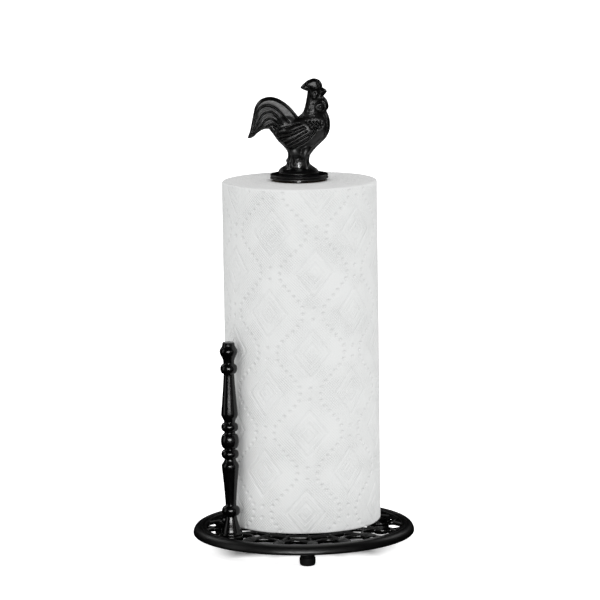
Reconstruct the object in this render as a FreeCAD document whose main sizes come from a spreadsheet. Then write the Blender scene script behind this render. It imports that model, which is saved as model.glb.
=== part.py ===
"""Paper towel holder in cast iron: openwork base, centre post, tear bar, rooster finial and a towel roll.

Millimetres, +Z up. The origin is on the ground, under the centre of the base. The front is -Y.
"""

import FreeCAD, Part
import math
import os
import Sketcher as sketcher

V = FreeCAD.Vector
UP = V(0, 0, 1)

SIZES = {
    # base casting
    "rim_radius": 90.2,
    "rim_lip_radius": 80.5,
    "rim_shoulder_radius": 84.4,
    "rim_bottom": 10.9,
    "rim_edge_height": 13.2,
    "rim_top": 18.5,
    "rim_lip_height": 18.2,
    "rim_lip_edge": 0.6,
    "rim_sole_outer": 1.2,
    "rim_sole_inner": 3.2,
    "rim_underside_rise": 0.6,
    "plate_bottom": 12.5,
    "plate_thickness": 4.0,
    "inner_ring_radius": 42.0,
    "inner_ring_bore": 37.5,
    "hub_radius": 25.0,
    "hub_bottom": 10.5,
    "hub_top": 22.5,
    "hub_bore": 4.1,
    "leaf_count": 15.0,
    "leaf_turn": -12.0,
    "leaf_start": 55.5,
    "leaf_middle": 66.5,
    "leaf_end": 74.0,
    "leaf_stem": 1.6,
    "leaf_widest": 4.6,
    "leaf_waist": 1.9,
    "leaf_fork": 10.6,
    "leaf_arm": 3.4,
    "leaf_gap_root": 76.2,
    # how far one feature runs into the next so that they join
    "overlap": 1.0,
    # legs and their caps
    "leg_count": 3.0,
    "leg_circle": 76.0,
    "leg_turn": 2.0,
    "leg_radius": 6.0,
    "leg_pin_radius": 4.4,
    "leg_pin_bottom": 2.2,
    "cap_radius": 6.1,
    "cap_height": 6.8,
    "cap_edge": 2.2,
    # centre post with its washer and nut
    "post_radius": 6.0,
    "post_top": 303.5,
    "post_stud_radius": 4.0,
    "post_stud_bottom": 1.6,
    "post_tap_radius": 4.0,
    "post_tap_depth": 22.0,
    "post_tap_cone": 2.0,
    "post_washer_radius": 8.5,
    "post_washer_thickness": 1.6,
    "post_nut_flats": 13.0,
    "post_nut_height": 6.5,
    # tear bar with its screw and washer
    "bar_across": -58.8,
    "bar_forward": -42.0,
    "bar_boss_radius": 9.3,
    "bar_bottom": 18.5,
    "bar_top": 176.6,
    "bar_tap_radius": 2.5,
    "bar_tap_depth": 16.0,
    "bar_tap_cone": 1.5,
    "bar_screw_radius": 2.5,
    "bar_screw_hole": 2.8,
    "bar_screw_length": 18.0,
    "bar_screw_head_radius": 4.2,
    "bar_screw_head_height": 2.9,
    "bar_screw_slot_width": 1.2,
    "bar_screw_slot_depth": 1.3,
    "bar_washer_radius": 5.0,
    "bar_washer_thickness": 1.0,
    # retaining disc, rooster and stud
    "disc_radius": 23.3,
    "disc_thickness": 4.2,
    "disc_edge": 1.1,
    "disc_bore": 4.2,
    "mound_radius": 16.8,
    "mound_height": 3.0,
    "mound_slope": 3.0,
    "rooster_thickness": 9.0,
    "stud_radius": 3.95,
    "stud_reach": 15.0,
    "stud_depth": 9.0,
    "stud_hole": 3.95,
    # towel roll and its core
    "roll_radius": 63.0,
    "roll_bottom": 22.7,
    "roll_height": 279.4,
    "core_radius": 21.8,
    "core_wall": 1.2,
}
LEG_ACROSS = "Sizes.leg_circle * sin(Sizes.leg_turn * 1deg)"
LEG_FORWARD = "-Sizes.leg_circle * cos(Sizes.leg_turn * 1deg)"
WASHER_BOTTOM = "Sizes.hub_bottom - Sizes.post_washer_thickness"
DISC_TOP = "(Sizes.post_top + Sizes.disc_thickness)"
BAR_SPOT = ("Sizes.bar_across", "Sizes.bar_forward")

# The tear bar's outline from the axis at its foot to the axis at its top: (height, radius, bulge),
# where the bulge is how far the side that starts there bows outwards
BAR_PROFILE = [
    (0.0, 8.6, 0.0),
    (0.4, 9.0, 0.0),
    (1.6, 9.0, 0.0),
    (2.4, 8.0, -1.1),
    (15.7, 4.5, 2.9),
    (24.1, 4.5, 0.0),
    (27.0, 4.4, 0.0),
    (55.1, 6.95, 0.0),
    (57.9, 6.95, -0.2),
    (62.8, 4.7, 2.4),
    (70.3, 4.7, 0.0),
    (71.2, 4.6, 2.75),
    (83.6, 4.6, 0.0),
    (85.3, 4.6, 2.35),
    (92.8, 4.6, -0.4),
    (98.5, 6.8, 0.1),
    (100.4, 6.8, 0.0),
    (132.1, 4.35, 2.55),
    (141.0, 4.4, -0.5),
    (149.5, 7.2, 0.1),
    (151.8, 7.2, -0.4),
    (155.2, 5.2, 0.0),
    (157.5, 4.9, 0.0),
    (158.1, 4.3, 0.0),
]

doc = FreeCAD.newDocument("PaperTowelHolder")
sheet = doc.addObject("Spreadsheet::Sheet", "Sizes")
for row, (alias, size) in enumerate(SIZES.items(), start=1):
    sheet.set(f"A{row}", alias)
    sheet.set(f"B{row}", str(size))
    sheet.setAlias(f"B{row}", alias)
doc.recompute()
sub_parts = []


def value_of(expression):
    """What an expression on the sheet comes to, as a plain number."""
    return float(sheet.evalExpression(expression.replace("Sizes.", "")))


def keep(piece, label):
    """Gives a finished sub-part its own name and marks it for export."""
    piece.Label = label
    sub_parts.append(piece)
    return piece


def new_body(label):
    return keep(doc.addObject("PartDesign::Body", label), label)


def add_sketch(body, name, plane, height=None):
    """An empty sketch on one of the body's own planes, at a height above it where one is given."""
    sketch = body.newObject("Sketcher::SketchObject", name)
    flat = [o for o in body.Origin.OriginFeatures if o.Role == plane][0]
    sketch.AttachmentSupport = [(flat, "")]
    sketch.MapMode = "FlatFace"
    if height:
        sketch.setExpression(".AttachmentOffset.Base.z", height)
    return sketch


def draw_outline(sketch, corners, bends=None):
    """A closed outline. Every corner is held to its pair of expressions. A bend turns the side that
    starts at that corner into an arc, through the middle of the side moved out by (across, up)."""
    bends = bends or {}
    points = [V(value_of(across), value_of(up), 0) for across, up in corners]
    ends = []
    for i, start in enumerate(points):
        end = points[(i + 1) % len(points)]
        ends.append((1, 2))
        if i not in bends:
            sketch.addGeometry(Part.LineSegment(start, end), False)
            continue
        middle = (start + end) / 2 + V(bends[i][0], bends[i][1], 0)
        if (middle - start).cross(end - middle).z < 0:  # an arc is always kept anticlockwise
            ends[i] = (2, 1)
            start, end = end, start
        side = sketch.addGeometry(Part.Arc(start, middle, end), False)
        sketch.addConstraint(sketcher.Constraint("Radius", side, sketch.Geometry[side].Radius))
    for i, corner in enumerate(points):
        across, up = corners[i]
        for axis, value, expression in (("DistanceX", corner.x, across), ("DistanceY", corner.y, up)):
            held = sketch.addConstraint(sketcher.Constraint(axis, -1, 1, i, ends[i][0], value))
            sketch.setExpression(f"Constraints[{held}]", expression)
        j = (i + 1) % len(points)
        sketch.addConstraint(sketcher.Constraint("Coincident", i, ends[i][1], j, ends[j][0]))


def draw_circle(sketch, radius, across="0", up="0"):
    place = V(value_of(across), value_of(up), 0)
    circle = sketch.addGeometry(Part.Circle(place, UP, value_of(radius)), False)
    held = sketch.addConstraint(sketcher.Constraint("Radius", circle, value_of(radius)))
    sketch.setExpression(f"Constraints[{held}]", radius)
    for axis, value, expression in (("DistanceX", place.x, across), ("DistanceY", place.y, up)):
        held = sketch.addConstraint(sketcher.Constraint(axis, -1, 1, circle, 3, value))
        sketch.setExpression(f"Constraints[{held}]", expression)


def revolve(body, name, corners, bends=None):
    """Turns an outline of (radius, height) corners about the body's Z axis."""
    sketch = add_sketch(body, f"{name}Profile", "XZ_Plane")
    draw_outline(sketch, corners, bends)
    turned = body.newObject("PartDesign::Revolution", name)
    turned.Profile = sketch
    turned.ReferenceAxis = (sketch, ["V_Axis"])
    turned.Angle = 360


def pad(body, sketch, name, length):
    raised = body.newObject("PartDesign::Pad", name)
    raised.Profile = sketch
    raised.setExpression("Length", length)
    return raised


def pocket(body, sketch, name, length):
    """Cuts upwards from its sketch, and stops the build if nothing was cut."""
    doc.recompute()
    before = body.Shape.Volume
    hollow = body.newObject("PartDesign::Pocket", name)
    hollow.Profile = sketch
    hollow.Reversed = True
    hollow.setExpression("Length", length)
    doc.recompute()
    if body.Shape.Volume > before - 1:
        raise RuntimeError(f"{name} cuts nothing")


def repeat(body, feature, name, count):
    """Repeats a feature round the Z axis."""
    doc.recompute()
    pattern = body.newObject("PartDesign::PolarPattern", name)
    pattern.Originals = [feature]
    pattern.Axis = ([o for o in body.Origin.OriginFeatures if o.Role == "Z_Axis"][0], [""])
    pattern.Angle = 360
    pattern.setExpression("Occurrences", count)
    body.Tip = pattern
    doc.recompute()


def cylinder(name, radius, height, bottom="0", across="0", forward="0"):
    """An upright Part cylinder bound to the sheet."""
    made = doc.addObject("Part::Cylinder", name)
    made.setExpression("Radius", radius)
    made.setExpression("Height", height)
    place(made, bottom, across, forward)
    return made


def place(made, bottom, across, forward):
    for axis, expression in (("x", across), ("y", forward), ("z", bottom)):
        made.setExpression(f".Placement.Base.{axis}", expression)


def fuse(name, pieces):
    joined = doc.addObject("Part::MultiFuse", name)
    joined.Shapes = pieces
    joined.Refine = True
    return joined


def cut(name, solid, hole):
    made = doc.addObject("Part::Cut", name)
    made.Base = solid
    made.Tool = hole
    return made


def make_base():
    """One casting: convex rim, openwork of leaves, inner ring, hub, three legs and the tear bar's boss."""
    body = new_body("base_casting")
    revolve(
        body,
        "Rim",
        [
            ("Sizes.rim_lip_radius", "Sizes.plate_bottom"),
            ("Sizes.rim_shoulder_radius + Sizes.overlap", "Sizes.plate_bottom + Sizes.rim_underside_rise"),
            ("Sizes.rim_radius - Sizes.rim_sole_inner", "Sizes.rim_bottom"),
            ("Sizes.rim_radius - Sizes.rim_sole_outer", "Sizes.rim_bottom"),
            ("Sizes.rim_radius", "Sizes.rim_edge_height"),
            ("Sizes.rim_shoulder_radius", "Sizes.rim_top"),
            ("Sizes.rim_shoulder_radius - Sizes.rim_lip_edge", "Sizes.rim_lip_height"),
            ("Sizes.rim_lip_radius", "Sizes.rim_lip_height"),
        ],
        bends={3: (0.4, -0.3), 4: (0.9, 0.8)},
    )
    leaf = add_sketch(body, "LeafOutline", "XY_Plane", "Sizes.plate_bottom")
    turn = FreeCAD.Rotation(UP, value_of("Sizes.leaf_turn"))
    leaf.AttachmentOffset = FreeCAD.Placement(V(0, 0, 0), turn)
    draw_leaf(leaf)
    leaf_pad = pad(body, leaf, "Leaf", "Sizes.plate_thickness")
    repeat(body, leaf_pad, "Leaves", "Sizes.leaf_count")

    hub = add_sketch(body, "HubOutline", "XY_Plane", "Sizes.hub_bottom")
    draw_circle(hub, "Sizes.hub_radius")
    pad(body, hub, "Hub", "Sizes.hub_top - Sizes.hub_bottom")
    ring = add_sketch(body, "RingOutline", "XY_Plane", "Sizes.plate_bottom")
    draw_circle(ring, "Sizes.inner_ring_radius")
    draw_circle(ring, "Sizes.inner_ring_bore")
    pad(body, ring, "InnerRing", "Sizes.plate_thickness")
    boss = add_sketch(body, "BossOutline", "XY_Plane", "Sizes.plate_bottom")
    draw_circle(boss, "Sizes.bar_boss_radius", *BAR_SPOT)
    pad(body, boss, "TearBarBoss", "Sizes.bar_bottom - Sizes.plate_bottom")

    leg = add_sketch(body, "LegOutline", "XY_Plane", "Sizes.cap_height")
    draw_circle(leg, "Sizes.leg_radius", LEG_ACROSS, LEG_FORWARD)
    leg_height = "Sizes.plate_bottom + Sizes.plate_thickness - Sizes.cap_height"
    leg_pad = pad(body, leg, "Leg", leg_height)
    repeat(body, leg_pad, "Legs", "Sizes.leg_count")
    pin = add_sketch(body, "LegPinOutline", "XY_Plane", "Sizes.leg_pin_bottom")
    draw_circle(pin, "Sizes.leg_pin_radius", LEG_ACROSS, LEG_FORWARD)
    pin_height = "Sizes.cap_height - Sizes.leg_pin_bottom + Sizes.overlap"
    pin_pad = pad(body, pin, "LegPin", pin_height)
    repeat(body, pin_pad, "LegPins", "Sizes.leg_count")

    bore = add_sketch(body, "HubBoreOutline", "XY_Plane", "Sizes.hub_bottom - Sizes.overlap")
    draw_circle(bore, "Sizes.hub_bore")
    pocket(body, bore, "HubBore", "Sizes.hub_top - Sizes.hub_bottom + 2 * Sizes.overlap")
    screw = add_sketch(body, "ScrewHoleOutline", "XY_Plane", "Sizes.rim_bottom - Sizes.overlap")
    draw_circle(screw, "Sizes.bar_screw_hole", *BAR_SPOT)
    pocket(body, screw, "ScrewHole", "Sizes.rim_top - Sizes.rim_bottom + 2 * Sizes.overlap")


def draw_leaf(sketch):
    """A spear-shaped leaf on a stem from the hub. Its outer end forks into two arms that meet the rim."""
    rim = "Sizes.rim_lip_radius + Sizes.overlap"
    half = [
        ("Sizes.hub_radius - Sizes.overlap", "Sizes.leaf_stem"),
        ("Sizes.leaf_start", "Sizes.leaf_stem"),
        ("Sizes.leaf_middle", "Sizes.leaf_widest"),
        ("Sizes.leaf_end", "Sizes.leaf_waist"),
        (rim, "Sizes.leaf_fork"),
    ]
    other = [(along, f"-({aside})") for along, aside in reversed(half)]
    gap = [
        (rim, "Sizes.leaf_fork - Sizes.leaf_arm"),
        ("Sizes.leaf_gap_root", "0"),
        (rim, "-(Sizes.leaf_fork - Sizes.leaf_arm)"),
    ]
    draw_outline(sketch, half + gap + other)


def make_foot_caps():
    """Rubber caps pressed over the pins of the three legs."""
    turn = 360 / value_of("Sizes.leg_count")
    for i, label in enumerate(("foot_cap_front", "foot_cap_rear_right", "foot_cap_rear_left")):
        body = new_body(label)
        revolve(
            body,
            f"Cap{i}",
            [
                ("0", "0"),
                ("Sizes.cap_radius - Sizes.cap_edge", "0"),
                ("Sizes.cap_radius", "Sizes.cap_edge"),
                ("Sizes.cap_radius", "Sizes.cap_height"),
                ("Sizes.leg_pin_radius", "Sizes.cap_height"),
                ("Sizes.leg_pin_radius", "Sizes.leg_pin_bottom"),
                ("0", "Sizes.leg_pin_bottom"),
            ],
            bends={1: (0.42, -0.42)},
        )
        angle = math.radians(turn * i + value_of("Sizes.leg_turn") - 90)
        out = value_of("Sizes.leg_circle")
        body.Placement = FreeCAD.Placement(
            V(out * math.cos(angle), out * math.sin(angle), 0), FreeCAD.Rotation()
        )


def make_post():
    """Steel rod: a thin threaded end through the hub, a shoulder on the hub and a tapped top end."""
    body = new_body("centre_post")
    revolve(
        body,
        "Post",
        [
            ("0", "Sizes.post_stud_bottom"),
            ("Sizes.post_stud_radius", "Sizes.post_stud_bottom"),
            ("Sizes.post_stud_radius", "Sizes.hub_top"),
            ("Sizes.post_radius", "Sizes.hub_top"),
            ("Sizes.post_radius", "Sizes.post_top"),
            ("Sizes.post_tap_radius", "Sizes.post_top"),
            ("Sizes.post_tap_radius", "Sizes.post_top - Sizes.post_tap_depth"),
            ("0", "Sizes.post_top - Sizes.post_tap_depth - Sizes.post_tap_cone"),
        ],
    )


def make_post_fasteners():
    """Washer and hexagon nut that clamp the post from under the hub."""
    washer = new_body("post_washer")
    ring = add_sketch(washer, "WasherOutline", "XY_Plane", WASHER_BOTTOM)
    draw_circle(ring, "Sizes.post_washer_radius")
    draw_circle(ring, "Sizes.hub_bore")
    pad(washer, ring, "Washer", "Sizes.post_washer_thickness")

    nut = new_body("post_nut")
    hexagon = add_sketch(nut, "NutOutline", "XY_Plane", f"{WASHER_BOTTOM} - Sizes.post_nut_height")
    corner = "Sizes.post_nut_flats / sqrt(3)"
    draw_outline(
        hexagon,
        [
            (f"{corner} * cos({turn}deg)", f"{corner} * sin({turn}deg)")
            for turn in range(0, 360, 60)
        ],
    )
    draw_circle(hexagon, "Sizes.post_stud_radius")
    pad(nut, hexagon, "Nut", "Sizes.post_nut_height")


def make_tear_bar():
    """Turned spindle: beads and a ball on thin necks, and two long tapers, tapped from below."""
    body = new_body("tear_bar")
    corners = [("Sizes.bar_tap_radius", "0")]
    corners += [(f"{radius}", f"{height}") for height, radius, _ in BAR_PROFILE]
    corners[-1] = (f"{BAR_PROFILE[-1][1]}", "Sizes.bar_top - Sizes.bar_bottom")
    corners += [
        ("0", "Sizes.bar_top - Sizes.bar_bottom"),
        ("0", "Sizes.bar_tap_depth + Sizes.bar_tap_cone"),
        ("Sizes.bar_tap_radius", "Sizes.bar_tap_depth"),
    ]
    bends = {i: (bulge, 0) for i, (_, _, bulge) in enumerate(BAR_PROFILE, start=1) if bulge}
    revolve(body, "Spindle", corners, bends)
    place(body, "Sizes.bar_bottom", *BAR_SPOT)


def make_tear_bar_fasteners():
    """Slotted screw from below through the rim's boss, with its washer."""
    under = "Sizes.plate_bottom - Sizes.bar_washer_thickness"
    thickness = "Sizes.bar_washer_thickness"
    ring = cylinder("BarWasherDisc", "Sizes.bar_washer_radius", thickness, under, *BAR_SPOT)
    hole = cylinder("BarWasherHole", "Sizes.bar_screw_hole", thickness, under, *BAR_SPOT)
    keep(cut("tear_bar_washer", ring, hole), "tear_bar_washer")

    shank = cylinder("BarScrewShank", "Sizes.bar_screw_radius", "Sizes.bar_screw_length", under, *BAR_SPOT)
    bottom = f"{under} - Sizes.bar_screw_head_height"
    height = "Sizes.bar_screw_head_height"
    head = cylinder("BarScrewHead", "Sizes.bar_screw_head_radius", height, bottom, *BAR_SPOT)
    slot = doc.addObject("Part::Box", "BarScrewSlot")
    slot.setExpression("Length", "4 * Sizes.bar_screw_head_radius")
    slot.setExpression("Width", "Sizes.bar_screw_slot_width")
    slot.setExpression("Height", "Sizes.bar_screw_slot_depth")
    left = "Sizes.bar_across - 2 * Sizes.bar_screw_head_radius"
    place(slot, bottom, left, "Sizes.bar_forward - Sizes.bar_screw_slot_width / 2")
    keep(cut("tear_bar_screw", fuse("BarScrewBlank", [shank, head]), slot), "tear_bar_screw")


def make_retaining_disc():
    """Round plate on the post's end that keeps the roll down."""
    body = new_body("retaining_disc")
    revolve(
        body,
        "Disc",
        [
            ("Sizes.disc_bore", "Sizes.post_top"),
            ("Sizes.disc_radius - Sizes.disc_edge", "Sizes.post_top"),
            ("Sizes.disc_radius", "Sizes.post_top + Sizes.disc_edge"),
            ("Sizes.disc_radius", f"{DISC_TOP} - Sizes.disc_edge"),
            ("Sizes.disc_radius - Sizes.disc_edge", DISC_TOP),
            ("Sizes.disc_bore", DISC_TOP),
        ],
        bends={1: (0.23, -0.23), 3: (0.23, 0.23)},
    )


# The rooster's outline in strokes that meet at its corners: (forward of the axis, above the disc)
ROOSTER_STROKES = [
    [(4.8, 67.5), (2.1, 70.5), (6.4, 74.7), (13.2, 77.1), (19.2, 72.9), (19.9, 69.5)],
    [(19.9, 69.5), (22.3, 68.2), (23.5, 66.3)],
    [(23.5, 66.3), (20.6, 62.7)],
    [(20.6, 62.7), (23.4, 59.1), (24.5, 54.9), (22.9, 50.5)],
    [(22.9, 50.5), (25.6, 40.3), (24.9, 34.2), (21.6, 28.1), (14.2, 21.3), (9.3, 16.3), (8.5, 9.8)],
    [(8.5, 9.8), (11.6, 5.5), (15.9, 2.3)],
    [(15.9, 2.3), (15.9, 0.0)],
    [(15.9, 0.0), (-16.3, 0.0)],
    [(-16.3, 0.0), (-16.3, 1.6)],
    [(-16.3, 1.6), (-11.8, 4.5), (-9.9, 10.4), (-8.3, 14.5), (-12.0, 21.7), (-20.4, 31.5)]
    + [(-24.0, 36.2)],
    [(-24.0, 36.2), (-32.8, 33.5), (-36.1, 30.4), (-40.5, 29.5)],
    [(-40.5, 29.5), (-38.5, 35.6), (-36.1, 46.4), (-34.1, 54.6), (-30.7, 59.3), (-22.1, 62.4)]
    + [(-16.0, 61.0), (-9.3, 56.6), (-0.2, 46.4)],
    [(-0.2, 46.4), (5.4, 55.3), (6.8, 62.1), (7.5, 66.5), (4.8, 67.5)],
]
# Its rounded masses: (forward, above the disc, half length, half height, half thickness, lean in degrees)
ROOSTER_MASSES = [
    (3.9, 32.5, 21.7, 13.3, 9.4, 32.0),
    (13.8, 52.2, 8.4, 16.7, 6.7, 8.0),
    (14.3, 65.5, 7.4, 5.4, 5.5, 0.0),
    (1.0, 18.7, 8.4, 10.3, 7.5, 0.0),
]


def make_rooster():
    """Finial casting: a standing rooster on a low mound, with a blind hole for its stud."""
    sides = []
    for stroke in ROOSTER_STROKES:
        points = [V(forward, 0, up) for forward, up in stroke]
        if len(points) == 2:
            sides.append(Part.LineSegment(points[0], points[1]).toShape())
        else:
            curve = Part.BSplineCurve()
            curve.interpolate(points)
            sides.append(curve.toShape())
    thickness = value_of("Sizes.rooster_thickness")
    shape = Part.Face(Part.Wire(sides)).extrude(V(0, thickness, 0))
    shape.translate(V(0, -thickness / 2, 0))
    for forward, up, half_length, half_height, half_thickness, lean in ROOSTER_MASSES:
        stretch = FreeCAD.Matrix()
        stretch.scale(V(half_length, half_thickness, half_height))
        mass = Part.makeSphere(1.0).transformGeometry(stretch)
        mass.rotate(V(0, 0, 0), V(0, -1, 0), lean)
        mass.translate(V(forward, 0, up))
        shape = shape.fuse(mass)
    mound = Part.makeCone(
        value_of("Sizes.mound_radius"),
        value_of("Sizes.mound_radius - Sizes.mound_slope"),
        value_of("Sizes.mound_height"),
    )
    hole = Part.makeCylinder(value_of("Sizes.stud_hole"), value_of("Sizes.stud_depth"))
    rooster = doc.addObject("Part::Feature", "rooster")
    rooster.Shape = shape.fuse(mound).cut(hole).removeSplitter()
    rooster.Placement = FreeCAD.Placement(V(0, 0, value_of(DISC_TOP)), FreeCAD.Rotation())
    keep(rooster, "rooster")


def make_stud():
    """Threaded stud in the rooster's foot, through the disc, into the post's tapped end."""
    length = "Sizes.stud_reach + Sizes.disc_thickness + Sizes.stud_depth"
    bottom = "Sizes.post_top - Sizes.stud_reach"
    keep(cylinder("finial_stud", "Sizes.stud_radius", length, bottom), "finial_stud")


def make_roll():
    """Cardboard core with the towel wound on it."""
    bottom, height = "Sizes.roll_bottom", "Sizes.roll_height"
    core = cylinder("CoreOutside", "Sizes.core_radius", height, bottom)
    bore = cylinder("CoreInside", "Sizes.core_radius - Sizes.core_wall", height, bottom)
    keep(cut("roll_core", core, bore), "roll_core")
    wound = cylinder("RollOutside", "Sizes.roll_radius", height, bottom)
    inside = cylinder("RollInside", "Sizes.core_radius", height, bottom)
    keep(cut("towel_roll", wound, inside), "towel_roll")


make_base()
make_foot_caps()
make_post()
make_post_fasteners()
make_tear_bar()
make_tear_bar_fasteners()
make_retaining_disc()
make_rooster()
make_stud()
make_roll()
doc.recompute()

for made in doc.Objects:
    if {"Invalid", "Error"} & set(made.State):
        raise RuntimeError(f"{made.Label} failed to build: {made.State}")
for piece in sub_parts:
    if piece.Shape.isNull() or not piece.Shape.isValid():
        raise RuntimeError(f"{piece.Label} has no valid shape")

os.makedirs("parts", exist_ok=True)
for piece in sub_parts:
    piece.Shape.exportStep(f"parts/{piece.Label}.step")
    box = piece.Shape.BoundBox
    print(
        f"{piece.Label}: {len(piece.Shape.Solids)} solid, {piece.Shape.Volume:.0f} mm3, "
        f"x {box.XMin:.1f} to {box.XMax:.1f}, y {box.YMin:.1f} to {box.YMax:.1f}, "
        f"z {box.ZMin:.1f} to {box.ZMax:.1f}"
    )
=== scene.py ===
"""The looks of a cast-iron paper towel holder with a rooster finial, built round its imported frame.

Blender works in metres. Shapes are worked out here in millimetres and scaled by MM when they become meshes.
"""

import math

import bpy
import numpy as np
import openvdb as vdb
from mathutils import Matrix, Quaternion, Vector


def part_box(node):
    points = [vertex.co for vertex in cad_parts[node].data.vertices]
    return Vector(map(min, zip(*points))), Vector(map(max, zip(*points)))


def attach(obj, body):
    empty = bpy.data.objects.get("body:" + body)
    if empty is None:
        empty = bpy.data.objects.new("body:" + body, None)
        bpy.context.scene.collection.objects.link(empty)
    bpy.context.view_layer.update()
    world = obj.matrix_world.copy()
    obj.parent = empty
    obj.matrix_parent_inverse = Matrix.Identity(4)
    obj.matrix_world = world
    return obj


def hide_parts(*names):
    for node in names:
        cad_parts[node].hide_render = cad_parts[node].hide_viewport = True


MM = 0.001
TURN = 2 * math.pi

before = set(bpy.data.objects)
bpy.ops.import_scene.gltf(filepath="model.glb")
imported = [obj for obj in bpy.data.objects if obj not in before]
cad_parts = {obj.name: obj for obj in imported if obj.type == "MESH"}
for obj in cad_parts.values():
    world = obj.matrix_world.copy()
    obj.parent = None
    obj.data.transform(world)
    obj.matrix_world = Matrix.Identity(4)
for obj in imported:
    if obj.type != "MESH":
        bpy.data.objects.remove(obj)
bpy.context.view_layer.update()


# --- sizes, read from the frame, in millimetres ---------------------------------------------------


def corners(node):
    """Lowest and highest corner of a CAD node in millimetres."""
    low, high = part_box(node)
    return np.array(low) / MM, np.array(high) / MM


base_high = corners("base_casting")[1]
bar_low, bar_high = corners("tear_bar")
disc_low, disc_high = corners("retaining_disc")
rooster_low, rooster_high = corners("rooster")
stud_low, stud_high = corners("finial_stud")
roll_low, roll_high = corners("towel_roll")
FEET = ("foot_cap_front", "foot_cap_rear_right", "foot_cap_rear_left")

RIM_RADIUS = base_high[0]
HUB_TOP = base_high[2]
RIM_TOP = bar_low[2]
RIM_BOTTOM = RIM_TOP - 7.6
LIP_RADIUS = RIM_RADIUS - 9.7
PLATE_BOTTOM = RIM_TOP - 6.0
BAR_SPOT = (bar_low[:2] + bar_high[:2]) / 2
ROLL_RADIUS = roll_high[0]
CORE_RADIUS = corners("roll_core")[1][0]


# --- mesh helpers ----------------------------------------------------------------------------------


def add_mesh(name, points, faces, material, body, nodes):
    """A mesh object from millimetre points and faces of equal length, riding on a body."""
    points = np.asarray(points, np.float32) * MM
    faces = np.asarray(faces, np.int32)
    mesh = bpy.data.meshes.new(name)
    mesh.vertices.add(len(points))
    mesh.vertices.foreach_set("co", points.ravel())
    mesh.loops.add(faces.size)
    mesh.loops.foreach_set("vertex_index", faces.ravel())
    mesh.polygons.add(len(faces))
    mesh.polygons.foreach_set("loop_start", np.arange(0, faces.size, faces.shape[1], dtype=np.int32))
    mesh.update(calc_edges=True)
    mesh.polygons.foreach_set("use_smooth", np.ones(len(faces), bool))
    mesh.materials.append(material)
    piece = bpy.data.objects.new(name, mesh)
    bpy.context.scene.collection.objects.link(piece)
    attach(piece, body)
    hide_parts(*nodes)


def grid_faces(rows, columns):
    """Quads over a grid of points stored row by row, closed on itself both ways."""
    row = np.arange(rows)[:, None]
    column = np.arange(columns)[None, :]
    next_row = (row + 1) % rows
    next_column = (column + 1) % columns
    quads = np.stack(
        [
            row * columns + column,
            row * columns + next_column,
            next_row * columns + next_column,
            next_row * columns + column,
        ],
        axis=-1,
    )
    return quads.reshape(-1, 4)


def turned(profile, segments, centre=(0.0, 0.0)):
    """Points and quads of a closed (radius, height) profile turned about an upright axis.
    The profile runs anticlockwise with the axis on its left."""
    profile = np.asarray(profile, float)
    angle = np.linspace(0, TURN, segments, endpoint=False)
    radius, height = profile[:, 0][:, None], profile[:, 1][:, None]
    points = np.stack(
        [
            centre[0] + radius * np.cos(angle),
            centre[1] + radius * np.sin(angle),
            height + 0 * angle,
        ],
        axis=-1,
    ).reshape(-1, 3)
    return points, grid_faces(len(profile), segments)


def rounded(outline, steps=5):
    """A closed outline of (radius, height, rounding) corners, each eased over its rounding length."""
    made = []
    for i, (radius, height, ease) in enumerate(outline):
        corner = np.array([radius, height])
        if ease <= 0:
            made.append(corner)
            continue
        before = np.array(outline[i - 1][:2]) - corner
        after = np.array(outline[(i + 1) % len(outline)][:2]) - corner
        start = corner + before / np.linalg.norm(before) * min(ease, np.linalg.norm(before) * 0.5)
        end = corner + after / np.linalg.norm(after) * min(ease, np.linalg.norm(after) * 0.5)
        for share in np.linspace(0, 1, steps):
            made.append((1 - share) ** 2 * start + 2 * share * (1 - share) * corner + share**2 * end)
    return np.array(made)


def join_parts(parts):
    """Several (points, quads) as one."""
    points, faces, count = [], [], 0
    for part_points, part_faces in parts:
        points.append(part_points)
        faces.append(part_faces + count)
        count += len(part_points)
    return np.concatenate(points), np.concatenate(faces)


# --- solid shapes as distance fields ---------------------------------------------------------------


def soft_min(a, b, ease):
    """The union of two fields, with a fillet of about that size."""
    blend = np.clip(0.5 + 0.5 * (b - a) / ease, 0, 1)
    return b + (a - b) * blend - ease * blend * (1 - blend)


def soft_max(a, b, ease):
    """The overlap of two fields, with a round of about that size."""
    return -soft_min(-a, -b, ease)


def surface(field, low, voxel):
    """Points and quads of a field's zero surface. The field is in millimetres, negative inside."""
    grid = vdb.FloatGrid()
    grid.background = 3.0
    grid.copyFromArray(np.clip(field / voxel, -3, 3).astype(np.float32))
    points, quads = grid.convertToQuads(isovalue=0.0)
    points = np.asarray(points, float) * voxel + np.asarray(low)
    quads = np.asarray(quads, np.int64)
    a, b, c = (points[quads[:, i]] for i in (0, 1, 2))
    if np.einsum("ij,ij->i", a, np.cross(b, c)).sum() < 0:
        quads = quads[:, ::-1]
    return points, quads


def curve(points, steps=8):
    """A smooth line through a few points."""
    p = np.array(points, float)
    p = np.vstack([2 * p[0] - p[1], p, 2 * p[-1] - p[-2]])
    share = np.linspace(0, 1, steps, endpoint=False)[:, None]
    made = []
    for a, b, c, d in zip(p[:-3], p[1:-2], p[2:-1], p[3:]):
        made.append(
            0.5
            * (
                2 * b
                + (c - a) * share
                + (2 * a - 5 * b + 4 * c - d) * share**2
                + (3 * b - a - 3 * c + d) * share**3
            )
        )
    return np.vstack(made + [p[-2:-1]])


def distance_to(line, x, z):
    """Distance from every grid point to a line of points."""
    best = np.full(x.shape, 1e9)
    for start, end in zip(line[:-1], line[1:]):
        run = end - start
        length = max(run @ run, 1e-12)
        share = np.clip(((x - start[0]) * run[0] + (z - start[1]) * run[1]) / length, 0, 1)
        best = np.minimum(best, np.hypot(x - start[0] - share * run[0], z - start[1] - share * run[1]))
    return best


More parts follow.
